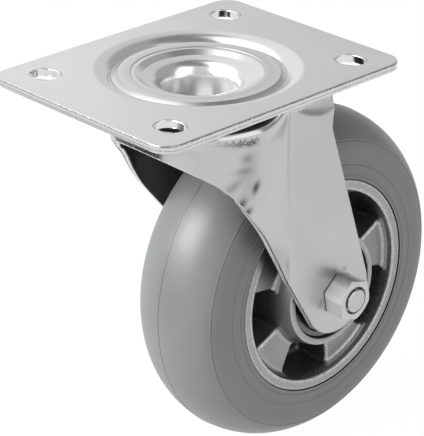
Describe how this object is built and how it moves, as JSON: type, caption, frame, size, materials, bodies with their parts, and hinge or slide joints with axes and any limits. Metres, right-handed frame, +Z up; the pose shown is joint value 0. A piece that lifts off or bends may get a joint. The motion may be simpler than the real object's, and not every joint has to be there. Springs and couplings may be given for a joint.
{
  "type": "swivel castor",
  "caption": "Swivel castor: slotted top plate, double ball head, pressed fork and a solid rubber wheel on ball bearings with a cast spoked centre.",
  "frame": {"origin": "centre of the mounting plate's top face, on the swivel axis", "axes": "+Z up, out of the plate's top face; +X along the wheel's axle towards the nut; +Y the way the wheel trails at rest"},
  "size_m": [0.11, 0.2045, 0.195],
  "materials": {
    "zinc_plate": "pressed sheet steel, bright zinc plated",
    "zinc_fork": "pressed sheet steel, bright zinc plated",
    "zinc_race": "pressed sheet steel, bright zinc plated",
    "zinc_fastener": "cold formed steel, bright zinc plated",
    "plain_steel": "drawn steel tube",
    "ground_steel": "ground bearing steel",
    "ball_steel": "polished bearing steel",
    "shield_steel": "pressed bearing shield",
    "cage_plastic": "moulded polyamide",
    "black_seal": "moulded rubber, satin",
    "cast_aluminium": "die-cast, satin, faces turned",
    "grey_rubber": "moulded solid rubber, matt"
  },
  "bodies": {
    "mount": {"top_plate": "zinc_plate", "swivel_seal": "black_seal", "lower_race": "zinc_race"},
    "fork": {"fork": "zinc_fork", "axle_bolt": "zinc_fastener", "axle_nut": "zinc_fastener", "axle_tube": "plain_steel", "centre_spacer": "plain_steel", "side_spacer_right": "plain_steel", "side_spacer_left": "plain_steel", "bearing_inner_right": "ground_steel", "bearing_inner_left": "ground_steel"},
    "wheel": {"wheel_rim": "cast_aluminium", "tyre": "grey_rubber", "bearing_outer_right": "ground_steel", "bearing_outer_left": "ground_steel", "bearing_shields_right": "shield_steel", "bearing_shields_left": "shield_steel"},
    "upper_balls": {"upper_swivel_balls": "ball_steel"},
    "lower_balls": {"lower_swivel_balls": "ball_steel"},
    "balls_right": {"bearing_cage_right": "cage_plastic", "bearing_balls_right": "ball_steel"},
    "balls_left": {"bearing_cage_left": "cage_plastic", "bearing_balls_left": "ball_steel"}
  },
  "joints": [
    {"name": "swivel", "type": "hinge", "parent": "mount", "child": "fork", "pos_m": [0, 0, 0], "axis": [0, 0, 1], "continuous": true},
    {"name": "wheel_spin", "type": "hinge", "parent": "fork", "child": "wheel", "pos_m": [0, 0.0545, -0.115], "axis": [1, 0, 0], "continuous": true},
    {"name": "upper_row", "type": "hinge", "parent": "mount", "child": "upper_balls", "pos_m": [0, 0, 0], "axis": [0, 0, 1], "continuous": true},
    {"name": "lower_row", "type": "hinge", "parent": "mount", "child": "lower_balls", "pos_m": [0, 0, 0], "axis": [0, 0, 1], "continuous": true},
    {"name": "right_row", "type": "hinge", "parent": "fork", "child": "balls_right", "pos_m": [0, 0.0545, -0.115], "axis": [1, 0, 0], "continuous": true},
    {"name": "left_row", "type": "hinge", "parent": "fork", "child": "balls_left", "pos_m": [0, 0.0545, -0.115], "axis": [1, 0, 0], "continuous": true}
  ],
  "couplings": [
    {"joint": "upper_row", "follows": "swivel", "ratio": 0.5},
    {"joint": "lower_row", "follows": "swivel", "ratio": 0.5},
    {"joint": "right_row", "follows": "wheel_spin", "ratio": 0.6134},
    {"joint": "left_row", "follows": "wheel_spin", "ratio": 0.6134}
  ]
}
